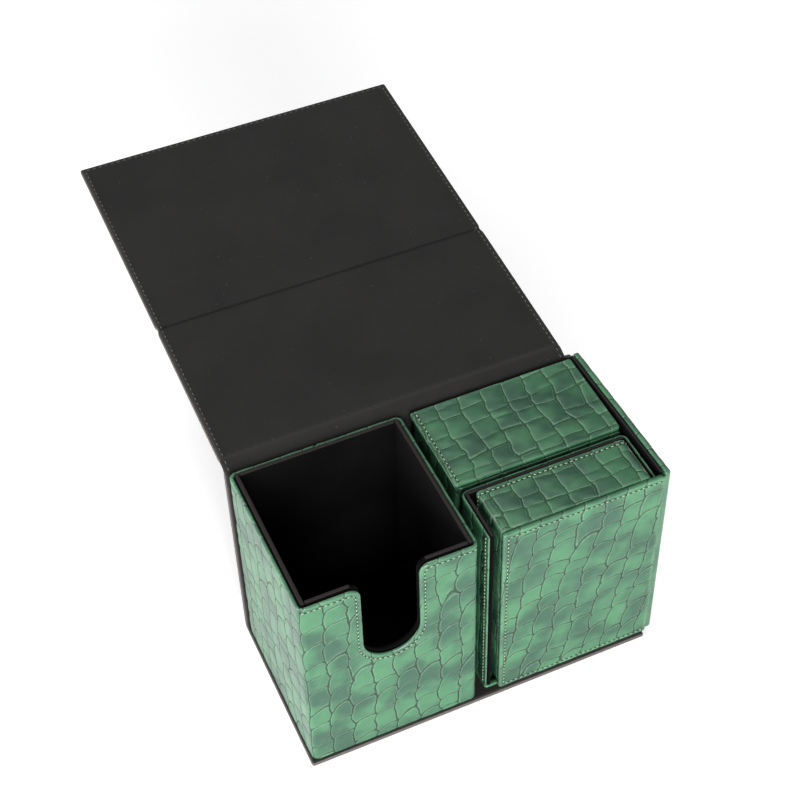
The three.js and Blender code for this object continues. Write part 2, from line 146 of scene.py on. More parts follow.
def joint_place(name):
    joint = next(j for j in frame["joints"] if j["name"] == name)
    return np.array(joint["pos_m"]) * METRE


class LocalFrame:
    """Axes turned and moved, such as the laid-back lid's."""

    def __init__(self, origin, degrees, axis="X"):
        self.origin = np.array(origin, float)
        self.turn = np.array(Matrix.Rotation(math.radians(degrees), 3, axis))

    def to_row(self, points):
        return np.asarray(points) @ self.turn.T + self.origin

    def from_row(self, points):
        return (np.asarray(points) - self.origin) @ self.turn

    def span_of(self, node):
        local = self.from_row(cad_points(node))
        return local.min(0), local.max(0)


ROW = LocalFrame((0, 0, 0), 0)


# ---------------------------------------------------------------- outlines and paths


def unit(vector):
    return vector / np.linalg.norm(vector)


def bend_points(before, here, after, radius, spacing):
    """The arc that rounds one corner of a line."""
    into, out = unit(here - before), unit(after - here)
    turn = math.atan2(into[0] * out[1] - into[1] * out[0], into @ out)
    if radius == 0 or abs(turn) < 1e-6:
        return [here]
    start = here - into * radius * math.tan(abs(turn) / 2)
    side = math.copysign(1, turn)
    centre = start + radius * side * np.array((-into[1], into[0]))
    steps = max(3, math.ceil(radius * abs(turn) / spacing))
    points = []
    for step in range(steps + 1):
        angle = turn * step / steps
        cos, sin = math.cos(angle), math.sin(angle)
        arm = start - centre
        turned = np.array((cos * arm[0] - sin * arm[1], sin * arm[0] + cos * arm[1]))
        points.append(centre + turned)
    return points


def rounded(corners, closed, spacing):
    """Points along a line through corners (x, y, radius), no further apart than spacing."""
    places = [np.array(corner[:2], float) for corner in corners]
    points = []
    for i, here in enumerate(places):
        at_end = not closed and i in (0, len(places) - 1)
        if at_end:
            points.append(here)
            continue
        after = places[(i + 1) % len(places)]
        points += bend_points(places[i - 1], here, after, corners[i][2], spacing)
    if closed:
        points.append(points[0])
    filled = [points[0]]
    for point in points[1:]:
        gap = point - filled[-1]
        length = np.linalg.norm(gap)
        if length < 1e-6:
            continue
        count = math.ceil(length / spacing)
        filled += [filled[-1] + gap * step / count for step in range(1, count + 1)]
    return np.array(filled[:-1] if closed else filled)


def rectangle(low, high, radius):
    """Corners of a rectangular outline, anticlockwise."""
    (x0, y0), (x1, y1) = low, high
    return [(x0, y0, radius), (x1, y0, radius), (x1, y1, radius), (x0, y1, radius)]


def inward_normals(loop):
    along = np.roll(loop, -1, 0) - np.roll(loop, 1, 0)
    along /= np.linalg.norm(along, axis=1)[:, None]
    return np.stack((-along[:, 1], along[:, 0]), 1)


def distance_to(points, line, closed):
    """Distance from each point to a line of many short pieces."""
    tree = KDTree(len(line))
    for i, (u, v) in enumerate(line):
        tree.insert((u, v, 0), i)
    tree.balance()
    closest = np.array([tree.find((u, v, 0))[1] for u, v in points], int)
    distance = np.full(len(points), np.inf)
    for step in (-1, 0):
        first, second = closest + step, closest + step + 1
        if closed:
            first, second = first % len(line), second % len(line)
        else:
            first, second = np.clip((first, second), 0, len(line) - 1)
        arm = line[second] - line[first]
        offset = points - line[first]
        share = np.clip((offset * arm).sum(1) / np.maximum((arm ** 2).sum(1), 1e-9), 0, 1)
        gap = np.linalg.norm(offset - share[:, None] * arm, axis=1)
        distance = np.minimum(distance, gap)
    return distance


def is_inside(points, loop):
    """True for each point that lies inside a closed loop."""
    ends = np.roll(loop, -1, 0)
    inside = np.zeros(len(points), bool)
    for (x0, y0), (x1, y1) in zip(loop, ends):
        if y0 == y1:
            continue
        spans = (points[:, 1] > y0) != (points[:, 1] > y1)
        crossing = x0 + (points[:, 1] - y0) * (x1 - x0) / (y1 - y0)
        inside ^= spans & (points[:, 0] < crossing)
    return inside


class Points:
    """Points added group by group, each group with the same fields."""

    def __init__(self):
        self.groups = []
        self.count = 0

    def add(self, places, *fields):
        """Gives the new points' numbers. A field is one value for all of them, or one for each."""
        shapes = [(len(places), *np.shape(field)[1:]) for field in fields]
        columns = [np.broadcast_to(field, shape) for field, shape in zip(fields, shapes)]
        self.groups.append([places, *columns])
        self.count += len(places)
        return range(self.count - len(places), self.count)

    def columns(self):
        return [np.concatenate(column) for column in zip(*self.groups)]


class Wrap:
    """Places a sheet: u runs along a bent line, v straight across it, depth to its left.

    The line lies in the plane of the first two of the axes, v along the third. With side -1
    the depth goes to the line's right.
    """

    def __init__(self, corners, axes, local=ROW, side=1):
        self.line = rounded(corners, False, 0.3)
        steps = np.linalg.norm(np.diff(self.line, axis=0), axis=1)
        self.reach = np.concatenate(([0], np.cumsum(steps)))
        along = np.gradient(self.line, axis=0)
        along /= np.linalg.norm(along, axis=1)[:, None]
        self.inward = side * np.stack((-along[:, 1], along[:, 0]), 1)
        self.axes = axes
        self.local = local
        self.length = self.reach[-1]

    def at(self, first, second):
        """u of the point of the line nearest to a place in its plane."""
        gaps = np.linalg.norm(self.line - np.array((first, second)), axis=1)
        return self.reach[gaps.argmin()]

    def at_ends(self, points):
        """True for sheet points at the two ends of the line, where a sheet is butted."""
        return (points[:, 0] < 0.5) | (points[:, 0] > self.length - 0.5)

    def __call__(self, sheet_points, depth):
        u, v = np.asarray(sheet_points, float).T
        out = np.empty((len(u), 3))
        for i in range(2):
            on_line = np.interp(u, self.reach, self.line[:, i])
            out[:, self.axes[i]] = on_line + depth * np.interp(u, self.reach, self.inward[:, i])
        out[:, self.axes[2]] = v
        return self.local.to_row(out)


# ---------------------------------------------------------------- meshes


def link_object(name, data):
    thing = bpy.data.objects.new(name, data)
    bpy.context.scene.collection.objects.link(thing)
    return thing


def make_object(name, points, faces, materials, body):
    """A mesh piece from points in millimetres, with its faces turned outwards."""
    mesh = bpy.data.meshes.new(name)
    mesh.from_pydata((np.asarray(points) / METRE).tolist(), [], faces)
    mesh.validate()
    tidy = bmesh.new()
    tidy.from_mesh(mesh)
    bmesh.ops.recalc_face_normals(tidy, faces=tidy.faces)
    tidy.to_mesh(mesh)
    tidy.free()
    mesh.polygons.foreach_set("use_smooth", [True] * len(mesh.polygons))
    for material in materials:
        mesh.materials.append(material)
    piece = link_object(name, mesh)
    if body:
        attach(piece, body)
    return piece


def apply_modifiers(piece):
    depsgraph = bpy.context.evaluated_depsgraph_get()
    final = bpy.data.meshes.new_from_object(piece.evaluated_get(depsgraph))
    piece.modifiers.clear()
    first = piece.data
    piece.data = final
    bpy.data.meshes.remove(first)


def add_field(piece, name, kind, values):
    field = piece.data.attributes.new(name, kind, "POINT")
    key = "vector" if kind == "FLOAT_VECTOR" else "value"
    field.data.foreach_set(key, np.asarray(values, np.float32).ravel())


def quads_between(first, second):
    """Faces between two closed rings of point numbers."""
    return [
        (first[i], first[(i + 1) % len(first)], second[(i + 1) % len(first)], second[i])
        for i in range(len(first))
    ]


def fill_faces(ring, inner, ring_numbers, inner_numbers):
    """Triangles that join a closed ring to the points inside it."""
    points = [Vector(p) for p in np.concatenate((ring, inner))]
    numbers = list(ring_numbers) + list(inner_numbers)
    outline = [list(range(len(ring)))]
    _, _, faces, sources, _, _ = delaunay_2d_cdt(points, [], outline, 1, 1e-5)
    return [tuple(numbers[sources[i][0]] for i in face) for face in faces]


def lattice(low, high, spacing):
    """Rows of points, every second row moved by half a step."""
    rows = np.arange(low[1], high[1], spacing * math.sqrt(0.75))
    columns = np.arange(low[0], high[0], spacing)
    u, v = np.meshgrid(columns, rows)
    u[1::2] += spacing / 2
    return np.stack((u.ravel(), v.ravel()), 1)


def crease_points(crease, loop, grid):
    """Close rows of points over a pressed line."""
    middle, _, width = crease
    across = middle + np.linspace(-1.8, 1.8, 13) * width
    along = np.arange(loop[:, 1].min(), loop[:, 1].max(), grid)
    u, v = np.meshgrid(across, along)
    return np.stack((u.ravel(), v.ravel()), 1)


def fold_profile(wall, radius, turned_in):
    """Steps (inset, depth, way travelled) over a folded edge, from the face to the inside."""
    steps = 4
    quarter = [math.pi / 2 * i / steps for i in range(steps + 1)]
    profile = [
        (radius * (1 - math.sin(a)), radius * (1 - math.cos(a)), radius * a) for a in quarter
    ]
    travelled = radius * math.pi / 2
    if not turned_in:
        profile.append((0, wall, travelled + wall - radius))
        profile.append((LEATHER, wall, travelled + wall))
        return profile
    back = min(radius, wall / 2)
    if wall > radius + back:
        profile.append((0, wall - back, travelled + wall - back - radius))
    travelled = profile[-1][2]
    profile += [
        (back * (1 - math.cos(a)), wall - back * (1 - math.sin(a)), travelled + back * a)
        for a in quarter[1:]
    ]
    profile.append((TURN_IN, wall, travelled + TURN_IN))
    profile.append((TURN_IN, wall - LEATHER, travelled + TURN_IN))
    profile.append((LEATHER, wall - LEATHER, travelled + TURN_IN))
    return profile


def leather_sheet(name, place, corners, wall, body, look, replaced, radius=0.9, turned_in=True,
                  seams=(), patch=(0, 0), grid=FINE_GRID, thin=None, crease=None, stretch=(1, 1),
                  turn=0.0, arch=1.0):
    """A sheet of leather wrapped over a wall and folded in at its edges.

    seams are the lines that are stitched, in sheet coordinates. thin(points) picks edge points
    where the sheet is butted and not folded over. crease (u, depth, width) is a line pressed in.
    patch, stretch, turn and arch choose the part of the hide, and the size, lean and roundness
    of its scales.
    """
    radius = min(radius, wall / 2)
    loop = rounded(corners, True, grid)
    normals = inward_normals(loop)
    profile = fold_profile(wall, radius, turned_in)
    share = np.ones(len(loop))
    if thin:
        share[thin(loop)] = LEATHER / wall
        share = sum(np.roll(share, step) for step in range(-2, 3)) / 5

    ring = loop + normals * radius
    inner = lattice(loop.min(0), loop.max(0), grid)
    if crease:
        inner = np.concatenate((inner[np.abs(inner[:, 0] - crease[0]) > 2 * crease[2]],
                                crease_points(crease, loop, grid)))
    inner = inner[is_inside(inner, loop)]
    inner = inner[distance_to(inner, loop, True) > radius + 0.55 * grid]
    points = Points()
    numbers = points.add(ring, 0, ring, 0.8)
    faces = fill_faces(ring, inner, numbers, points.add(inner, 0, inner, 1))

    low, high = loop.min(0), loop.max(0)
    for i, (inset, depth, travelled) in enumerate(profile[1:] + [(LEATHER, LEATHER, 0)]):
        hidden_ring = np.clip(loop + normals * inset, low + inset, high - inset)
        unrolled = loop + normals * (radius - travelled)
        following = points.add(hidden_ring, depth * share, unrolled, max(0, 0.6 - 0.15 * i))
        faces += quads_between(numbers, following)
        numbers = following

    step = min(HIDDEN_GRID, 3 * grid)
    hidden = lattice(low, high, step)
    hidden = hidden[is_inside(hidden, hidden_ring)]
    hidden = hidden[distance_to(hidden, hidden_ring, True) > 0.5 * step]
    faces += fill_faces(hidden_ring, hidden, numbers, points.add(hidden, LEATHER, hidden, 0))

    sheet, depths, hides, reliefs = points.columns()
    if crease:
        pressed = crease[1] * np.exp(-((sheet[:, 0] - crease[0]) / crease[2]) ** 2)
        depths = depths + pressed * (depths < wall / 2)
    seam = np.full(len(sheet), NO_SEAM)
    for line in seams:
        seam = np.minimum(seam, distance_to(sheet, line, False))
    edge = distance_to(sheet, loop, True)
    signed = np.where(edge < SEAM_INSET, -seam, seam)
    reliefs = reliefs * np.clip(np.abs(signed) / FLAT_BY_SEAM, 0.1, 1)

    piece = make_object(name, place(sheet, depths), faces, [look], None)
    turned = hides * stretch @ np.array(Matrix.Rotation(math.radians(turn), 2)).T
    hide = np.column_stack((turned + np.array(patch), np.zeros(len(hides))))
    add_field(piece, "hide", "FLOAT_VECTOR", hide)
    add_field(piece, "arch", "FLOAT", [arch] * len(hides))
    add_field(piece, "seam", "FLOAT", signed)
    add_field(piece, "relief", "FLOAT", reliefs)
    # The band along the folded edges, which the materials lighten as a painted highlight.
    add_field(piece, "worn", "FLOAT", np.exp(-(edge / EDGE_HIGHLIGHT_WIDTH) ** 2) * (depths < wall - 0.1))
    if crease:
        add_field(piece, "pressed", "FLOAT", pressed / crease[1])
    if look["embossed"]:
        modifier = piece.modifiers.new("relief", "NODES")
        modifier.node_group = relief_nodes
        apply_modifiers(piece)
    if body:
        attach(piece, body)
    if replaced:
        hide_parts(*replaced)
    return piece


def green_sheet(node, place, corners, wall, body, seams=(), threads=None, **options):
    """The sheet that stands for a green CAD node, with threads along its first seam."""
    leather_sheet(f"{node}_piece", place, corners, wall, body, green, [node], seams=seams,
                  **options)
    if threads:
        stitch_row(threads, place, seams[:1], body, green_thread)


def stitch_row(name, place, lines, body, look, pitch=STITCH_PITCH):
    """Short threads along the lines, each dipping into a needle hole at both ends."""
    along_steps = np.array((-0.5, -0.36, -0.14, 0.14, 0.36, 0.5)) * STITCH_LENGTH
    sizes = np.array((0.35, 0.85, 1, 1, 0.85, 0.35)) * THREAD_RADIUS
    sinks = (0.32, 0.06, -0.06, -0.06, 0.06, 0.32)
    angles = np.arange(6) / 6 * 2 * math.pi
    slant = 0.14
    hole = np.array((0.13, 0.19)) * pitch
    points, faces, shades = Points(), [], []
    for line in lines:
        reach = np.concatenate(([0], np.cumsum(np.linalg.norm(np.diff(line, axis=0), axis=1))))
        count = max(1, round(reach[-1] / pitch))
        for i in range(count):
            here = (i + 0.5) / count * reach[-1]
            ends = [np.array([np.interp(here + d, reach, line[:, k]) for k in range(2)])
                    for d in (-0.6, 0, 0.6)]
            along = unit(ends[2] - ends[0])
            across = np.array((-along[1], along[0]))
            rings = []
            for step, size, sink in zip(along_steps, sizes, sinks):
                middle = ends[1] + along * step + across * step * slant
                flat = middle + np.outer(np.cos(angles) * size, across)
                rings.append(points.add(place(flat, sink - np.sin(angles) * size)))
            for before, after in zip(rings, rings[1:]):
                faces += quads_between(before, after)
            faces += [tuple(rings[0]), tuple(rings[-1])]
            shades += [0] * (len(faces) - len(shades))
            for side in (-1, 1):
                middle = ends[1] + (along + across * slant) * side * STITCH_LENGTH * 0.56
                flat = middle + np.outer(np.cos(angles), across) * hole[0]
                flat = flat + np.outer(np.sin(angles), along) * hole[1]
                rim = points.add(place(flat, np.full(6, -0.01)))
                depths = np.array((-0.06, 0.3))
                for tip in points.add(place(np.array((middle, middle)), depths)):
                    faces += [(rim[k], rim[(k + 1) % 6], tip) for k in range(6)]
            shades += [1] * (len(faces) - len(shades))
    materials = [look, needle_hole]
    piece = make_object(name, points.columns()[0], faces, materials, body)
    piece.data.polygons.foreach_set("material_index", shades)
    return piece


def fitted_copy(node, look, edge=0.0, x=(0, 0), y=(0, 0), z=(0, 0), local=ROW):
    """Stands for a CAD board: the same shape with softened edges. x, y and z say how much
    shorter it is at its low and high end on each axis, to leave room for folded leather."""
    source = frame["nodes"][node]
    solid = bmesh.new()
    solid.from_mesh(source.data)
    bmesh.ops.remove_doubles(solid, verts=solid.verts, dist=1e-6)
    cuts = np.array((x, y, z), float)
    if cuts.any():
        low, high = local.span_of(node)
        for vertex in solid.verts:
            spot = local.from_row(np.array(vertex.co) * METRE)
            spot = np.clip(spot, low + cuts[:, 0], high - cuts[:, 1])
            vertex.co = Vector(local.to_row(spot) / METRE)
    flat_enough = math.radians(2)
    bmesh.ops.dissolve_limit(solid, angle_limit=flat_enough, verts=solid.verts, edges=solid.edges)
    if edge:
        sharp = [e for e in solid.edges if e.calc_face_angle(0) > math.radians(40)]
        bmesh.ops.bevel(solid, geom=sharp, offset=edge / METRE, segments=3, profile=0.5,
                        affect="EDGES", clamp_overlap=True)
    top = max(vertex.co.z for vertex in solid.verts)
    at_top = [vertex.co.z > top - 0.2 * edge / METRE - 1e-6 for vertex in solid.verts]
    mesh = bpy.data.meshes.new(f"{node}_piece")
    solid.to_mesh(mesh)
    solid.free()
    mesh.polygons.foreach_set("use_smooth", [True] * len(mesh.polygons))
    mesh.set_sharp_from_angle(angle=math.radians(50))
    mesh.materials.append(look)
    piece = link_object(f"{node}_piece", mesh)
    # The top rim of a softened board, which the liner material paints in a lighter colour, as if
    # lit.
    add_field(piece, "worn", "FLOAT", at_top if edge > 0.25 else [0] * len(at_top))
    piece.modifiers.new("weights", "WEIGHTED_NORMAL").keep_sharp = True
    apply_modifiers(piece)
    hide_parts(node)
    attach(piece, source["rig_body"])
    return piece


# ---------------------------------------------------------------- node helpers


class Nodes:
    """Short calls that add nodes to one tree. A value is a number, a tuple or a socket."""

    def __init__(self, tree):
        self.tree = tree

    def add(self, kind, inputs=None, **settings):
        node = self.tree.nodes.new(kind)
        for key, value in settings.items():
            setattr(node, key, value)
        for key, value in (inputs or {}).items():
            self.feed(node.inputs[key], value)
        return node

    def feed(self, socket, value):
        if isinstance(value, bpy.types.NodeSocket):
            self.tree.links.new(value, socket)
        else:
            socket.default_value = value

    def math(self, operation, *values):
        inputs = dict(enumerate(values))
        return self.add("ShaderNodeMath", inputs, operation=operation).outputs[0]

    def vectors(self, operation, first, second):
        """second is a vector, or a number when the operation is SCALE."""
        key = "Scale" if operation == "SCALE" else 1
        inputs = {0: first, key: second}
        return self.add("ShaderNodeVectorMath", inputs, operation=operation).outputs[0]

    def plus(self, first, second):
        return self.math("ADD", first, second)

    def minus(self, first, second):
        return self.math("SUBTRACT", first, second)

    def times(self, first, second):
        return self.math("MULTIPLY", first, second)

    def step(self, value, low, high, to_low=0.0, to_high=1.0):
        """A smooth step from to_low to to_high as value goes from low to high."""
        inputs = {"Value": value, "From Min": low, "From Max": high, "To Min": to_low,
                  "To Max": to_high}
        node = self.add("ShaderNodeMapRange", inputs, interpolation_type="SMOOTHSTEP")
        return node.outputs["Result"]

    def noise(self, vector, size, detail=2.0, output="Fac"):
        """Noise whose features are about size across."""
        inputs = {"Vector": vector, "Scale": 1 / size, "Detail": detail}
        return self.add("ShaderNodeTexNoise", inputs, noise_dimensions="3D").outputs[output]

    def cell_value(self, first, second):
        """A random number for each pair of whole numbers."""
        place = self.add("ShaderNodeCombineXYZ", {"X": first, "Y": second}).outputs[0]
        node = self.add("ShaderNodeTexWhiteNoise", {"Vector": place}, noise_dimensions="2D")
        return node.outputs["Value"]

    def field(self, name, output="Fac"):
        """A value that was stored on the mesh."""
        return self.add("ShaderNodeAttribute", attribute_name=name).outputs[output]

    def mix(self, share, first, second):
        inputs = {"Factor": share, "A": first, "B": second}
        node = self.tree.nodes.new("ShaderNodeMix")
        node.data_type = "RGBA"
        for socket in node.inputs:
            if socket.enabled and socket.name in inputs:
                self.feed(socket, inputs[socket.name])
        return next(s for s in node.outputs if s.enabled)


def scale_pattern(nodes, hide, arch):
    """Embossed scales in columns, for the mesh and for the material alike. The left side of a
    scale bulges out and bends over into its top, more so where arch is higher.

    Gives the distance in millimetres to the nearest groove, to the groove between columns,
    and a random number for each scale.
    """
    moved = hide
    for size, reach in ((38.0, 8.0), (8.0, 2.6)):
        drift = nodes.noise(hide, size, 1.0, "Color")
        drift = nodes.vectors("SUBTRACT", drift, (0.5, 0.5, 0.5))
        moved = nodes.vectors("ADD", moved, nodes.vectors("SCALE", drift, reach))
    split = nodes.add("ShaderNodeSeparateXYZ", {0: moved})
    x = nodes.math("DIVIDE", split.outputs["X"], COLUMN_WIDTH)
    y = nodes.math("DIVIDE", split.outputs["Y"], ROW_HEIGHT)

    def rows_in(column):
        place = nodes.add("ShaderNodeCombineXYZ", {"X": nodes.times(column, 7.3), "Y": y})
        uneven = nodes.times(nodes.noise(place.outputs[0], 1.4, 0.0), 1.5)
        return nodes.plus(nodes.plus(y, uneven), nodes.cell_value(column, 0.5))

    def left_side(column):
        share = nodes.math("FRACT", nodes.plus(rows_in(column), fall))
        bulge = nodes.times(share, nodes.minus(1.0, share))
        reach = nodes.times(arch, 4 * SCALLOP)
        return nodes.minus(column, nodes.times(bulge, reach))

    fall = nodes.times(arch, ARCH)
    first = nodes.math("FLOOR", x)
    right = left_side(nodes.plus(first, 1.0))
    beyond = nodes.math("GREATER_THAN", x, right)
    column = nodes.plus(first, beyond)
    across = nodes.minus(x, left_side(column))
    onward = nodes.plus(nodes.minus(right, x), beyond)
    to_column = nodes.times(nodes.math("MINIMUM", across, onward), COLUMN_WIDTH)

    short = nodes.math("MAXIMUM", nodes.minus(1.0, across), 0.0)
    drop = nodes.times(nodes.math("POWER", short, 2.6), fall)
    rows = nodes.plus(rows_in(column), drop)
    from_middle = nodes.math("ABSOLUTE", nodes.minus(nodes.math("FRACT", rows), 0.5))
    to_row = nodes.times(nodes.minus(0.5, from_middle), ROW_HEIGHT)
    nearest = nodes.math("SMOOTH_MIN", to_column, to_row, 1.4)
    return nearest, to_column, nodes.cell_value(column, nodes.math("FLOOR", rows))


def scale_height(nodes, nearest):
    """Height of the scales, from 0 in a groove to 1 on the back of a scale."""
    groove = nodes.step(nearest, 0.0, 1.1, 0.0, 0.62)
    dome = nodes.step(nearest, 0.4, 4.5, 0.0, 0.38)
    return nodes.plus(groove, dome)


def build_relief_nodes():
    """Geometry nodes that press the grooves into a sheet, along its normals."""
    tree = bpy.data.node_groups.new("embossed_relief", "GeometryNodeTree")
    tree.interface.new_socket("Geometry", in_out="INPUT", socket_type="NodeSocketGeometry")
    tree.interface.new_socket("Geometry", in_out="OUTPUT", socket_type="NodeSocketGeometry")
    nodes = Nodes(tree)
    entry = nodes.add("NodeGroupInput")
    hide = nodes.add("GeometryNodeInputNamedAttribute", {"Name": "hide"}, data_type="FLOAT_VECTOR")
    relief = nodes.add("GeometryNodeInputNamedAttribute", {"Name": "relief"}, data_type="FLOAT")
    arch = nodes.add("GeometryNodeInputNamedAttribute", {"Name": "arch"}, data_type="FLOAT")
    nearest, _, _ = scale_pattern(nodes, hide.outputs["Attribute"], arch.outputs["Attribute"])
    below = nodes.minus(scale_height(nodes, nearest), 1.0)
    depth = nodes.times(nodes.times(below, relief.outputs["Attribute"]), RELIEF / METRE)
    normal = nodes.add("GeometryNodeInputNormal").outputs["Normal"]
    inputs = {"Geometry": entry.outputs[0], "Offset": nodes.vectors("SCALE", normal, depth)}
    moved = nodes.add("GeometryNodeSetPosition", inputs)
    finish = nodes.add("NodeGroupOutput")
    tree.links.new(moved.outputs[0], finish.inputs[0])
    return tree


# ---------------------------------------------------------------- materials


def new_material(name, slot, embossed=False):
    material = bpy.data.materials.new(name)
    material.use_nodes = True
    material["slot"] = slot
    material["embossed"] = embossed
    material.node_tree.nodes.clear()
    nodes = Nodes(material.node_tree)
    shader = nodes.add("ShaderNodeBsdfPrincipled")
    finish = nodes.add("ShaderNodeOutputMaterial")
    material.node_tree.links.new(shader.outputs[0], finish.inputs["Surface"])
    return material, nodes, shader


def set_surface(nodes, shader, colour, rough, height):
    """Colour, roughness, and a bump whose height is in millimetres."""
    nodes.feed(shader.inputs["Base Color"], colour)
    nodes.feed(shader.inputs["Roughness"], rough)
    inputs = {"Height": height, "Distance": 1 / METRE, "Strength": 1.0}
    nodes.feed(shader.inputs["Normal"], nodes.add("ShaderNodeBump", inputs).outputs[0])


def position_mm(nodes):
    """Object coordinates in millimetres."""
    place = nodes.add("ShaderNodeTexCoord").outputs["Object"]
    return nodes.vectors("SCALE", place, METRE)


def crocodile_leather():
    """Green leatherette with an embossed crocodile grain: mottled, dark in the grooves, with a
    painted highlight on the lips of the scales and on folded edges, and pulled in along the
    stitching."""
    material, nodes, shader = new_material("crocodile_green", "green_leather", embossed=True)
    hide = nodes.field("hide", "Vector")
    seam = nodes.field("seam")
    arch = nodes.field("arch")
    nearest, to_column, each = scale_pattern(nodes, hide, arch)

    wrinkle = nodes.minus(nodes.noise(hide, 1.0, 2.0), 0.5)
    ragged = nodes.plus(nearest, nodes.times(wrinkle, 0.7))
    clouds = nodes.step(nodes.noise(hide, 17.0, 2.5), 0.37, 0.63)
    patches = nodes.step(nodes.noise(hide, 6.0, 2.0), 0.35, 0.7)
    colour = nodes.mix(clouds, (0.014, 0.066, 0.036, 1), (0.048, 0.174, 0.079, 1))
    colour = nodes.mix(nodes.times(patches, 0.3), colour, (0.025, 0.1, 0.054, 1))
    colour = nodes.mix(nodes.times(each, 0.2), colour, (0.018, 0.078, 0.045, 1))
    # Painted highlight: the lips of the scales are lighter, more strongly on the top panels.
    on_top = nodes.step(arch, 0.2, 1.0, 0.75, 0.45)
    lip_highlight = nodes.times(nodes.step(ragged, 0.3, 0.5), nodes.step(ragged, 0.52, 0.85, 1.0, 0.0))
    colour = nodes.mix(nodes.times(lip_highlight, on_top), colour, (0.14, 0.26, 0.16, 1))
    core = nodes.step(ragged, 0.12, 0.46, 1.0, 0.0)
    core = nodes.times(core, nodes.step(arch, 0.2, 1.0, 0.5, 0.92))
    by_column = nodes.step(to_column, 0.3, 1.2, 1.0, 0.82)
    colour = nodes.mix(nodes.times(core, by_column), colour, (0.008, 0.026, 0.015, 1))
    # Painted highlight: lighter green in the band along each folded edge.
    worn = nodes.field("worn")
    colour = nodes.mix(nodes.times(worn, 0.25), colour, (0.14, 0.27, 0.17, 1))
    from_seam = nodes.math("ABSOLUTE", seam)
    pulled = nodes.step(from_seam, 0.0, 0.9, 1.0, 0.0)
    # Painted shade: darker green along the seam, where the leather is pulled into a groove.
    colour = nodes.mix(nodes.times(pulled, 0.45), colour, (0.02, 0.075, 0.04, 1))

    grain = nodes.noise(hide, 0.55, 3.0)
    rough = nodes.step(grain, 0.3, 0.7, 0.27, 0.42)
    rough = nodes.plus(rough, nodes.times(core, 0.25))
    # The same edge band is also made glossier, which is a real roughness change.
    rough = nodes.minus(rough, nodes.times(worn, 0.16))
    shader.inputs["Specular IOR Level"].default_value = 0.5
    height = nodes.step(ragged, 0.0, 0.6, 0.0, 0.24)
    height = nodes.plus(height, nodes.times(grain, 0.035))
    height = nodes.minus(height, nodes.times(pulled, 0.14))
    set_surface(nodes, shader, colour, rough, height)
    return material


def cover_leather():
    """Black leatherette with a fine pebbled grain."""
    material, nodes, shader = new_material("pebbled_black", "black_leather")
    place = position_mm(nodes)
    pebble = nodes.add("ShaderNodeTexVoronoi", {"Vector": place, "Scale": 1 / 0.9},
                       feature="DISTANCE_TO_EDGE").outputs["Distance"]
    tone = nodes.noise(place, 22.0, 3.0)
    colour = nodes.mix(tone, (0.014, 0.0125, 0.012, 1), (0.03, 0.026, 0.025, 1))
    colour = nodes.mix(nodes.step(pebble, 0.0, 0.15, 0.6, 0.0), colour, (0.008, 0.007, 0.007, 1))
    # Painted highlight: lighter brown-grey in the band along the folded edges.
    colour = nodes.mix(nodes.times(nodes.field("worn"), 0.7), colour, (0.1, 0.085, 0.08, 1))
    set_surface(nodes, shader, colour, nodes.step(tone, 0.3, 0.7, 0.46, 0.58),
                nodes.step(pebble, 0.0, 0.3, 0.0, 0.06))
    return material


def napped_cloth(name, slot, dark, light, lit_edge, fibre, nap):
    """Microfibre: matte, faintly clouded, with a short nap and stray pale specks of dust."""
    material, nodes, shader = new_material(name, slot)
    place = position_mm(nodes)
    clouds = nodes.noise(place, 26.0, 4.0)
    fuzz = nodes.noise(place, fibre, 3.0)
    colour = nodes.mix(nodes.step(clouds, 0.3, 0.7), dark, light)
    # Painted shade: darker along the pressed crease.
    pressed = nodes.times(nodes.field("pressed"), 0.6)
    colour = nodes.mix(pressed, colour, (0.003, 0.003, 0.003, 1))
    # Painted light: the band along the edges and the liners' top rims take the lighter colour of a
    # lit edge.
    colour = nodes.mix(nodes.field("worn"), colour, lit_edge)
    colour = nodes.mix(nodes.times(fuzz, 0.35), colour, (*[c * 0.6 for c in dark[:3]], 1))
    speck = nodes.add("ShaderNodeTexVoronoi", {"Vector": place, "Scale": 1 / 5.5})
    speck = nodes.step(speck.outputs["Distance"], 0.02, 0.05, min(0.5, 8 * nap), 0.0)
    colour = nodes.mix(speck, colour, (0.2, 0.19, 0.18, 1))
    set_surface(nodes, shader, colour, nodes.step(fuzz, 0.3, 0.7, 0.8, 0.95),
                nodes.times(fuzz, 0.07))
    shader.inputs["Specular IOR Level"].default_value = min(0.12, nap)
    shader.inputs["Sheen Weight"].default_value = nap
    shader.inputs["Sheen Roughness"].default_value = 0.5
    return material


def thread(name, slot, dark, light):
    """Twisted sewing thread."""
    material, nodes, shader = new_material(name, slot)
    place = position_mm(nodes)
    twist = nodes.add("ShaderNodeTexWave", {"Vector": place, "Scale": 1.6, "Distortion": 0.8},
                      bands_direction="DIAGONAL").outputs["Fac"]
    set_surface(nodes, shader, nodes.mix(twist, dark, light),
                nodes.step(twist, 0.0, 1.0, 0.65, 0.42), nodes.times(twist, 0.04))
    return material


def hole_shadow():
    material, nodes, shader = new_material("needle_hole", "black_leather")
    tone = nodes.noise(position_mm(nodes), 0.8, 2.0)
    colour = nodes.mix(tone, (0.003, 0.006, 0.004, 1), (0.01, 0.018, 0.012, 1))
    nodes.feed(shader.inputs["Base Color"], colour)
    shader.inputs["Roughness"].default_value = 0.9
    return material


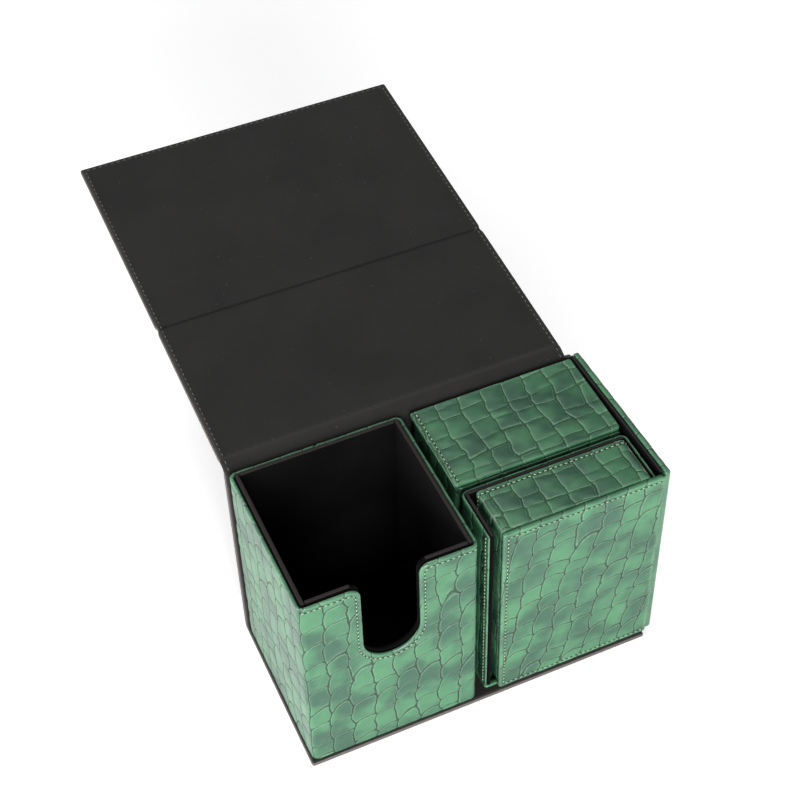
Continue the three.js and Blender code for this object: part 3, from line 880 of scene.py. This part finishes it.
def grey_board():
    """Bookbinding board: pressed fibres with darker flecks."""
    material, nodes, shader = new_material("pressed_greyboard", "greyboard")
    place = position_mm(nodes)
    fibre = nodes.noise(place, 1.2, 4.0)
    fleck = nodes.step(nodes.noise(place, 0.5, 1.0), 0.62, 0.7)
    colour = nodes.mix(fibre, (0.18, 0.165, 0.14, 1), (0.3, 0.28, 0.25, 1))
    colour = nodes.mix(nodes.times(fleck, 0.5), colour, (0.09, 0.08, 0.07, 1))
    set_surface(nodes, shader, colour, nodes.step(fibre, 0.3, 0.7, 0.82, 0.95),
                nodes.times(fibre, 0.08))
    return material


def nickel():
    """Nickel plating with fine turned scratches."""
    material, nodes, shader = new_material("nickel_plate", "magnet")
    place = position_mm(nodes)
    scratch = nodes.noise(place, 0.35, 3.0)
    colour = nodes.mix(scratch, (0.5, 0.51, 0.53, 1), (0.62, 0.62, 0.63, 1))
    shader.inputs["Metallic"].default_value = 1.0
    set_surface(nodes, shader, colour, nodes.step(scratch, 0.3, 0.7, 0.22, 0.4),
                nodes.times(scratch, 0.01))
    return material


relief_nodes = build_relief_nodes()
green = crocodile_leather()
black = cover_leather()
charcoal = napped_cloth("charcoal_microfibre", "black_lining",
                        (0.0185, 0.018, 0.0174, 1), (0.0235, 0.0228, 0.022, 1),
                        (0.034, 0.033, 0.032, 1), 0.5, 0.06)
# Painted shade and light: the liner's body is near black for the shade deep inside the boxes, and
# its top rims take a lighter brown, as if lit.
brown = napped_cloth("brown_microfibre", "brown_liner",
                     (0.0028, 0.0027, 0.0027, 1), (0.0046, 0.0043, 0.0043, 1),
                     (0.036, 0.031, 0.031, 1), 0.4, 0.01)
green_thread = thread("green_thread", "green_leather", (0.2, 0.34, 0.2, 1), (0.5, 0.6, 0.42, 1))
dark_thread = thread("dark_thread", "black_lining", (0.02, 0.02, 0.019, 1), (0.2, 0.2, 0.19, 1))
needle_hole = hole_shadow()
greyboard = grey_board()
magnet_metal = nickel()


# ---------------------------------------------------------------- deck box


def seam_line(*points):
    """A stitch line through points (u, v, radius) of a sheet."""
    return rounded(points, False, 0.6)


def three_sides(start, end, first, last, radius):
    """A stitch line that leaves u = start along v = first, and comes back along v = last."""
    return seam_line((start, first, 0), (end, first, radius), (end, last, radius),
                     (start, last, 0))


def ring(low, high, turn, from_far=False):
    """Corners of a line once round a wall, from the middle of its low side or its far side."""
    (a0, b0), (a1, b1) = low, high
    start = ((a0 + a1) / 2, b1 if from_far else b0, 0)
    corners = [(a1, b0, turn), (a1, b1, turn), (a0, b1, turn), (a0, b0, turn)]
    first = 2 if from_far else 0
    return [start, *corners[first:], *corners[:first], start]


def build_deck_box():
    (x0, y0, z0), (x1, y1, rim) = span_of("deck_leather")
    turn = DECK_CORNER
    wall = span_of("deck_board_left")[1][0] - x0 - LINER_GAP
    place = Wrap(ring((x0, y0), (x1, y1), turn, from_far=True), (0, 1, 2))
    notch = place.at((x0 + x1) / 2, y0)
    left, right = notch - NOTCH_WIDTH / 2, notch + NOTCH_WIDTH / 2
    foot = rim - NOTCH_DEPTH
    end = place.length
    outline = [
        (0, z0, PANEL_CORNER), (end, z0, PANEL_CORNER), (end, rim, PANEL_CORNER),
        (right, rim, NOTCH_SHOULDER), (right, foot, NOTCH_WIDTH / 2 - 0.01),
        (left, foot, NOTCH_WIDTH / 2 - 0.01), (left, rim, NOTCH_SHOULDER), (0, rim, PANEL_CORNER),
    ]
    inset = SEAM_INSET
    start = place.at(x0, y0 + turn) + turn * 0.8
    stop = place.at(x1, y0 + turn) - turn * 0.8
    seam = seam_line(
        (start, rim - inset, 0),
        (left - inset, rim - inset, NOTCH_SHOULDER - inset),
        (left - inset, foot - inset, NOTCH_WIDTH / 2 + inset),
        (right + inset, foot - inset, NOTCH_WIDTH / 2 + inset),
        (right + inset, rim - inset, NOTCH_SHOULDER - inset),
        (stop, rim - inset, 0),
    )

    green_sheet("deck_leather", place, outline, wall, "cover_and_deck_box", seams=[seam],
                threads="deck_stitches", patch=(3, 11), thin=place.at_ends)
    thinner = LINER_GAP + LEATHER
    cuts = {"left": {"x": (0, thinner)}, "right": {"x": (thinner, 0)},
            "front": {"y": (0, thinner)}, "back": {"y": (thinner, 0)}}
    for side, cut in cuts.items():
        fitted_copy(f"deck_board_{side}", greyboard, **cut)
        fitted_copy(f"deck_liner_{side}", brown, edge=0.45)
    fitted_copy("deck_liner_floor", brown, edge=0.12)


# ---------------------------------------------------------------- companion box


def build_shells():
    body = "companion_box"
    (x0, y0, z0), (x1, y1, z1) = span_of("front_shell_leather")
    wall = span_of("front_shell_board_left")[1][0] - x0 - LINER_GAP
    turn = SHELL_CORNER
    place = Wrap([(x1, y0, 0), (x1, y1, turn), (x0, y1, turn), (x0, y0, 0)], (0, 1, 2))
    end = place.length
    inset = SEAM_INSET
    seam = seam_line((end - inset, z1 - 1.5, 0), (end - inset, z0 + 1.5, 0))
    outline = rectangle((0, z0), (end, z1), PANEL_CORNER)
    green_sheet("front_shell_leather", place, outline, wall, body, seams=[seam],
                threads="front_shell_stitches", patch=(410, 30), radius=0.65)
    fitted_copy("front_shell_board_left", greyboard, x=(0, SHELL_CUT), y=(FOLD_ROOM, 0))
    fitted_copy("front_shell_board_right", greyboard, x=(SHELL_CUT, 0), y=(FOLD_ROOM, 0))
    fitted_copy("front_shell_board_back", greyboard, y=(SHELL_CUT, 0))
    for side in ("left", "back"):
        fitted_copy(f"front_shell_liner_{side}", brown, edge=0.35)
    fitted_copy("front_shell_liner_right", brown, edge=0.08)

    (x0, y0, z0), (x1, y1, z1) = span_of("rear_shell_leather")
    place = Wrap([(x1, y1, 0), (x0, y1, turn), (x0, y0, turn), (x1, y0, 0)], (0, 1, 2))
    outline = rectangle((0, z0), (place.length, z1), PANEL_CORNER)
    green_sheet("rear_shell_leather", place, outline, wall, body, patch=(640, 55), radius=0.65)
    fitted_copy("rear_shell_board_front", greyboard, x=(0, FOLD_ROOM), y=(0, SHELL_CUT))
    fitted_copy("rear_shell_board_back", greyboard, x=(0, FOLD_ROOM), y=(SHELL_CUT, 0))
    fitted_copy("rear_shell_board_left", greyboard, x=(0, SHELL_CUT))

    low, high = span_of("companion_floor")
    place = Wrap([(low[0], low[2], 0), (high[0], low[2], 0)], (0, 2, 1))
    outline = rectangle((0, low[1]), (place.length, high[1]), PANEL_CORNER)
    green_sheet("companion_floor", place, outline, high[2] - low[2], body, patch=(60, 420),
                radius=0.6)


def build_front_tray():
    body = "front_tray"
    (x0, y0, z0), (x1, y1, z1) = span_of("front_tray_leather")
    wall = span_of("front_tray_board")[0][0] - x0 + TRAY_FOLD
    place = Wrap(ring((x0, z0), (x1, z1), TRAY_CORNER), (0, 2, 1))
    end = place.length
    inset = SEAM_INSET
    seam = seam_line((1, y1 - inset, 0), (end - 1, y1 - inset, 0))
    outline = rectangle((0, y0), (end, y1), PANEL_CORNER)
    green_sheet("front_tray_leather", place, outline, wall, body, seams=[seam],
                threads="front_tray_stitches", patch=(120, 210), radius=0.6, thin=place.at_ends,
                stretch=(1, 1.3), arch=0.3)
    fitted_copy("front_tray_board", greyboard, y=(0, FOLD_ROOM))

    low, high = span_of("door_leather")
    place = Wrap([(low[0], low[1], 0), (high[0], low[1], 0)], (0, 1, 2))
    wide = place.length
    seam = three_sides(wide - 1.5, inset, high[2] - inset, low[2] + inset, 0.6)
    outline = rectangle((0, low[2]), (wide, high[2]), PANEL_CORNER)
    green_sheet("door_leather", place, outline, high[1] - low[1], body, seams=[seam],
                threads="door_stitches", patch=(250, 100), turned_in=False, radius=0.7, turn=9)


def build_side_flap():
    body = "side_flap"
    hinge = joint_place("side_flap_hinge")
    flap = LocalFrame((hinge[0], hinge[1], 0), FLAP_LEAN, "Z")
    low, high = flap.span_of("side_flap_leather")
    front = low[1] + SEAM_GROOVE
    place = Wrap([(front, high[0], 0), (high[1], high[0], 0)], (1, 0, 2), flap, side=-1)
    wide, inset = place.length, SEAM_INSET
    seam = three_sides(1.5, wide - inset, high[2] - inset, low[2] + inset, 0.6)
    glued = seam_line((0.4, low[2], 0), (0.4, high[2], 0))
    outline = rectangle((0, low[2]), (wide, high[2]), PANEL_CORNER)
    green_sheet("side_flap_leather", place, outline, high[0] - low[0], body,
                seams=[seam, glued], threads="side_flap_stitches", patch=(330, 330), radius=0.5)
    fitted_copy("side_flap_board", greyboard, x=(LEATHER, 0), y=(SEAM_GROOVE, 0), local=flap)
    fitted_copy("side_flap_liner", brown, edge=0.3, x=(0, 0.25), local=flap)

    # The leather that joins the door to the flap, folded in at the corner.
    door = span_of("door_leather")
    reach, back = FLAP_HINGE_REACH, hinge[1] + FLAP_HINGE_DEPTH
    place = Wrap([(hinge[0] - reach, back, 0), (hinge[0] + reach, back, 0)], (0, 1, 2))
    outline = rectangle((0, door[0][2] + 1), (place.length, door[1][2] - 1), 0.6)
    fold_line = seam_line((reach, 0, 0), (reach, door[1][2], 0))
    joint = leather_sheet("side_flap_hinge_leather", place, outline, FLAP_HINGE_DEPTH, None,
                          green, None, patch=(20, 300), radius=0.4, seams=[fold_line])
    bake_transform(joint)


def build_rear_tray():
    body = "rear_tray"
    (x0, y0, z0), (x1, y1, z1) = span_of("rear_tray_leather")
    place = Wrap(ring((y0, z0), (y1, z1), TRAY_CORNER), (1, 2, 0))
    end = place.length
    seam = seam_line((1, x0 + SEAM_INSET, 0), (end - 1, x0 + SEAM_INSET, 0))
    outline = rectangle((0, x0), (end, x1 - END_LEATHER), PANEL_CORNER)
    green_sheet("rear_tray_leather", place, outline, REAR_TRAY_WALL, body, seams=[seam],
                threads="rear_tray_stitches", patch=(500, 220), thin=place.at_ends, grid=1.1)
    fitted_copy("rear_tray_board", greyboard, x=(FOLD_ROOM, 0))

    place = Wrap([(y0, x1, 0), (y1, x1, 0)], (1, 0, 2), side=-1)
    outline = rectangle((0, z0), (place.length, z1), TRAY_CORNER)
    leather_sheet("rear_tray_end_leather", place, outline, END_LEATHER, body, green, None,
                  patch=(600, 400), radius=0.5, turned_in=False)

    low, high = span_of("rear_tray_cap_leather")
    place = Wrap([(low[0], high[2], 0), (high[0], high[2], 0)], (0, 2, 1), side=-1)
    seam = seam_line((SEAM_INSET, low[1] + 1.5, 0), (SEAM_INSET, high[1] - 1.5, 0))
    outline = rectangle((0, low[1]), (place.length, high[1]), PANEL_CORNER)
    green_sheet("rear_tray_cap_leather", place, outline, high[2] - low[2], body, seams=[seam],
                threads="cap_stitches", patch=(700, 150), turned_in=False, radius=0.45,
                stretch=(0.96, 1.3), arch=0.15)


# ---------------------------------------------------------------- cover


def build_base_and_spine():
    body = "cover_and_deck_box"
    base_low, base_high = span_of("base_skin")
    spine_high = span_of("spine_skin")[1]
    thickness = span_of("base_lining")[1][2] - base_low[2]
    corners = [(base_low[1], base_low[2], 0), (base_high[1], base_low[2], thickness),
               (base_high[1], spine_high[2] - SPINE_SHORT, 0)]
    place = Wrap(corners, (1, 2, 0))
    x0, x1 = base_low[0], base_high[0]
    end = place.length
    outline = rectangle((0, x0), (end, x1), COVER_CORNER)
    inset = SEAM_INSET
    seam = three_sides(end - 1, inset, x1 - inset, x0 + inset, 0.8)
    leather_sheet("base_and_spine_skin_piece", place, outline, thickness - 0.45, body, black,
                  ["base_skin", "spine_skin"], COVER_RADIUS, seams=[seam], grid=COVER_GRID)
    stitch_row("base_and_spine_stitches", place, [seam], body, dark_thread, pitch=COVER_PITCH)
    sides, top = (COVER_FOLD, COVER_FOLD), (0, SPINE_SHORT + 0.6)
    fitted_copy("base_board", greyboard, edge=0.2, x=sides, y=(COVER_FOLD, thickness))
    fitted_copy("spine_board", greyboard, edge=0.2, x=sides, z=top)
    sides = (LINING_INSET, LINING_INSET)
    fitted_copy("base_lining", charcoal, edge=0.15, x=sides, y=sides)
    fitted_copy("spine_lining", charcoal, edge=0.15, x=sides, z=top)


def build_lid_and_flap():
    hinge = joint_place("lid_hinge")
    lid = LocalFrame(hinge, LID_TILT)
    (x0, near, under), (_, lid_end, _) = lid.span_of("lid_skin")
    (_, flap_start, _), (x1, far, _) = lid.span_of("flap_skin")
    lining_top = lid.span_of("lid_lining")[1][2]
    crease = (lid_end + flap_start) / 2
    half = (flap_start - lid_end) / 2
    thickness = lining_top - under

    # The skin wraps the boards from below; v runs along X.
    place = Wrap([(near, under, 0), (far, under, 0)], (1, 2, 0), lid)
    end = place.length
    fold = crease - near
    bend = 2.0
    outline = [
        (0, x0, COVER_CORNER), (fold - half, x0, bend), (fold, x0 + CREASE_DIP, bend),
        (fold + half, x0, bend), (end, x0, COVER_CORNER), (end, x1, COVER_CORNER),
        (fold + half, x1, bend), (fold, x1 - CREASE_DIP, bend), (fold - half, x1, bend),
        (0, x1, COVER_CORNER),
    ]

    def fold_here(piece):
        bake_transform(piece)

    inset = SEAM_INSET
    outer_seam = three_sides(1, end - inset, x1 - inset, x0 + inset, 0.8)
    skin = leather_sheet("lid_and_flap_skin_piece", place, outline, thickness - 0.35, None, black,
                         ["lid_skin", "flap_skin"], COVER_RADIUS, seams=[outer_seam],
                         grid=COVER_GRID, crease=(fold, 0.5, 1.4))
    fold_here(skin)
    fold_here(stitch_row("lid_and_flap_outer_stitches", place, [outer_seam], None, dark_thread,
                         pitch=COVER_PITCH))

    # The lining lies on top, inside the skin's folded edges.
    place = Wrap([(far, lining_top, 0), (near, lining_top, 0)], (1, 2, 0), lid)
    gap = LINING_INSET
    outline = rectangle((gap, x0 + gap), (end, x1 - gap), 0.8)
    seam = three_sides(end - 1, inset, x0 + inset, x1 - inset, 0.8)
    lining = leather_sheet("lid_and_flap_lining_piece", place, outline, LINING, None, charcoal,
                           ["lid_lining", "flap_lining"], LINING_RADIUS, turned_in=False,
                           seams=[seam], grid=COVER_GRID, crease=(far - crease, 0.45, 0.75))
    fold_here(lining)
    fold_here(stitch_row("lid_and_flap_stitches", place, [seam], None, dark_thread,
                         pitch=COVER_PITCH))

    sides = (COVER_FOLD, COVER_FOLD)
    fitted_copy("lid_board", greyboard, edge=0.2, x=sides, y=sides, local=lid)
    fitted_copy("flap_board", greyboard, x=sides, y=sides, local=lid)
    return lid, near, under, lining_top, x0, x1


def build_hinge(lid, near, under, lining_top, x0, x1):
    """Two strips that carry the lid: lining cloth over the spine's top, and skin outside."""
    spine_high = span_of("spine_skin")[1]
    front = span_of("spine_lining")[0][1] - 0.12
    top = spine_high[2]
    edge_y, edge_z = lid.to_row((0, near + 0.4, lining_top))[1:]
    band = [(edge_y, edge_z, 0), (edge_y - 1.2, edge_z - 0.1, 2.0), (front, top - 1.0, 1.3),
            (front, top - 9, 0)]
    place = Wrap(band, (1, 2, 0))
    outline = rectangle((0, x0 + 0.3), (place.length, x1 - 0.3), 1.0)
    down = place.at(front + 0.8, top - 1.0)
    ends = [seam_line((0.5, x, 0), (down, x, 0)) for x in (x0 + SEAM_INSET, x1 - SEAM_INSET)]
    cloth = leather_sheet("lid_hinge_cloth_piece", place, outline, LINING, None, charcoal,
                          ["lid_hinge_cloth"], LINING_RADIUS, turned_in=False, grid=1.2)
    stitches = stitch_row("lid_hinge_stitches", place, ends, None, dark_thread, pitch=COVER_PITCH)
    for piece in (cloth, stitches):
        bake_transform(piece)

    back = spine_high[1]
    far_y, far_z = lid.to_row((0, near + 4, under - 0.12))[1:]
    strip = [(far_y, far_z, 0), (far_y - 4.6, far_z - 0.2, 0.9), (back + 0.9, top - 1.4, 0.8),
             (back + 0.12, top - 3.2, 2.0), (back + 0.12, top - 9, 0)]
    place = Wrap(strip[::-1], (1, 2, 0))
    outline = rectangle((0, x0 + 0.4), (place.length, x1 - 0.4), 1.0)
    skin = leather_sheet("lid_hinge_skin", place, outline, LINING, None, black, None,
                         LINING_RADIUS, turned_in=False, grid=1.2)
    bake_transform(skin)


# ---------------------------------------------------------------- carried CAD nodes


def finish_cad_nodes():
    """Boards, floors, linings and magnets that keep their CAD shape get real materials."""
    looks = {"greyboard": greyboard, "brown_liner": brown, "black_lining": charcoal,
             "black_leather": black, "green_leather": green, "magnet": magnet_metal}
    for entry in frame["record"]["subparts"]:
        node = frame["nodes"][entry["node"]]
        if not node.hide_render:
            node.data.materials.clear()
            node.data.materials.append(looks[entry["material_slot"]])


# ---------------------------------------------------------------- camera, floor and light


def aim(thing, place, target, roll=0.0):
    """Puts a camera or light at a place, looking at the target. Both in millimetres."""
    place, target = Vector(place) / METRE, Vector(target) / METRE
    look = (target - place).to_track_quat("-Z", "Y").to_matrix().to_4x4()
    thing.matrix_world = Matrix.Translation(place) @ look @ Matrix.Rotation(roll, 4, "Z")


def build_camera():
    azimuth, elevation, roll = math.radians(22.74), math.radians(46.5), math.radians(-1.88)
    distance = 756.5
    target = Vector((12.6, 67.8, 80.0))    # what the middle of the picture looks at
    level = math.cos(elevation)
    away = Vector((-math.sin(azimuth) * level, -math.cos(azimuth) * level, math.sin(elevation)))
    camera = link_object("camera", bpy.data.cameras.new("camera"))
    camera.data.lens = 77.59
    camera.data.sensor_width = 36
    aim(camera, target + away * distance, target, roll)
    bpy.context.scene.camera = camera


def area_light(name, place, size, power):
    lamp = bpy.data.lights.new(name, "AREA")
    lamp.shape = "DISK"
    lamp.size = size
    lamp.energy = power
    aim(link_object(name, lamp), place, (0, 20, 60))


def build_studio():
    material, nodes, shader = new_material("pale_floor", "greyboard")
    tone = nodes.noise(position_mm(nodes), 400.0, 1.0)
    colour = nodes.mix(tone, (0.9, 0.9, 0.9, 1), (0.92, 0.92, 0.92, 1))
    nodes.feed(shader.inputs["Base Color"], colour)
    shader.inputs["Roughness"].default_value = 0.8
    shader.inputs["Emission Color"].default_value = (1, 1, 1, 1)
    shader.inputs["Emission Strength"].default_value = 0.33
    half, level = 4000 / METRE, -0.3 / METRE
    corners = [(-half, -half, level), (half, -half, level), (half, half, level),
               (-half, half, level)]
    mesh = bpy.data.meshes.new("floor")
    mesh.from_pydata(corners, [], [(0, 1, 2, 3)])
    mesh.materials.append(material)
    link_object("floor", mesh)

    world = bpy.data.worlds.new("studio")
    world.use_nodes = True
    world.node_tree.nodes["Background"].inputs["Color"].default_value = (1, 1, 1, 1)
    world.node_tree.nodes["Background"].inputs["Strength"].default_value = 0.24
    bpy.context.scene.world = world
    bpy.context.scene.view_settings.view_transform = "Standard"
    area_light("front_key", (-300, -1300, 480), 0.8, 29)
    area_light("left_fill", (-1350, 0, 260), 1.5, 32)
    area_light("top_soft", (100, 600, 1450), 1.0, 5)


build_camera()
build_studio()
build_deck_box()
build_shells()
build_front_tray()
build_side_flap()
build_rear_tray()
build_base_and_spine()
build_hinge(*build_lid_and_flap())
finish_cad_nodes()
